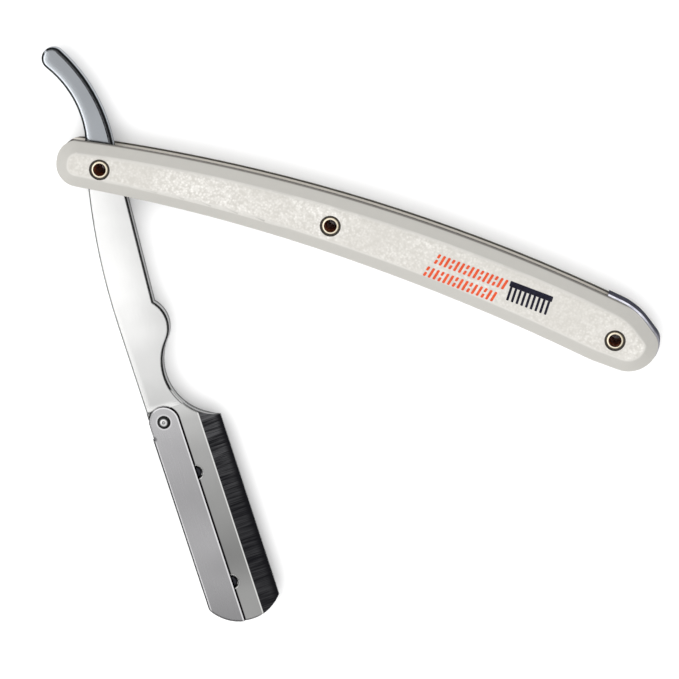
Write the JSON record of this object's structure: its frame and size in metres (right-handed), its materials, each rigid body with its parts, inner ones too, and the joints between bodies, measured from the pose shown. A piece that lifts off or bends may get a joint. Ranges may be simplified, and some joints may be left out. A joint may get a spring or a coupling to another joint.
{
  "type": "straight razor",
  "caption": "Folding barber's straight razor with pearl-white scales, a slotted steel head for a half blade and a swinging lock bar.",
  "frame": {"origin": "on the arm's pivot axis, in the middle of the handle's thickness", "axes": "+X from the pivot rivet to the end rivet, +Y towards the handle's back (the convex side), +Z along the pivot axis, out of the front scale"},
  "size_m": [0.1624, 0.1226, 0.0104],
  "materials": {
    "pearl_plastic": "gloss",
    "polished_spacer": "polished",
    "brass": "polished",
    "bare_steel": "satin",
    "brushed_arm": "brushed",
    "brushed_bar": "brushed",
    "pin_steel": "polished"
  },
  "bodies": {
    "handle": {"front_scale": "pearl_plastic", "rear_scale": "pearl_plastic", "end_spacer": "polished_spacer", "pivot_rivet": "brass", "middle_rivet": "brass", "end_rivet": "brass", "pivot_rivet_washer": "brass", "middle_rivet_washer": "brass", "end_rivet_washer": "brass", "middle_sleeve": "bare_steel", "front_thrust_washer": "bare_steel", "rear_thrust_washer": "bare_steel"},
    "arm": {"arm": "brushed_arm", "lock_pin": "pin_steel", "upper_blade_stud": "pin_steel", "lower_blade_stud": "pin_steel"},
    "front_leaf": {"front_leaf": "brushed_arm"},
    "lock_bar": {"lock_bar": "brushed_bar"}
  },
  "joints": [
    {"name": "arm_pivot", "type": "hinge", "parent": "handle", "child": "arm", "pos_m": [0, 0, 0], "axis": [0, 0, 1], "range_deg": [-285, 53]},
    {"name": "lock_swing", "type": "hinge", "parent": "arm", "child": "lock_bar", "pos_m": [0.0325, -0.05543, 0], "axis": [0, 0, -1], "range_deg": [0, 85]},
    {"name": "leaf_flex", "type": "hinge", "parent": "arm", "child": "front_leaf", "pos_m": [0.03153, -0.05237, 0.0017], "axis": [-0.8211, -0.5707, 0], "range_deg": [0, 0.75]}
  ],
  "couplings": [
    {"joint": "leaf_flex", "follows": "lock_swing", "ratio": 0.0088235}
  ]
}
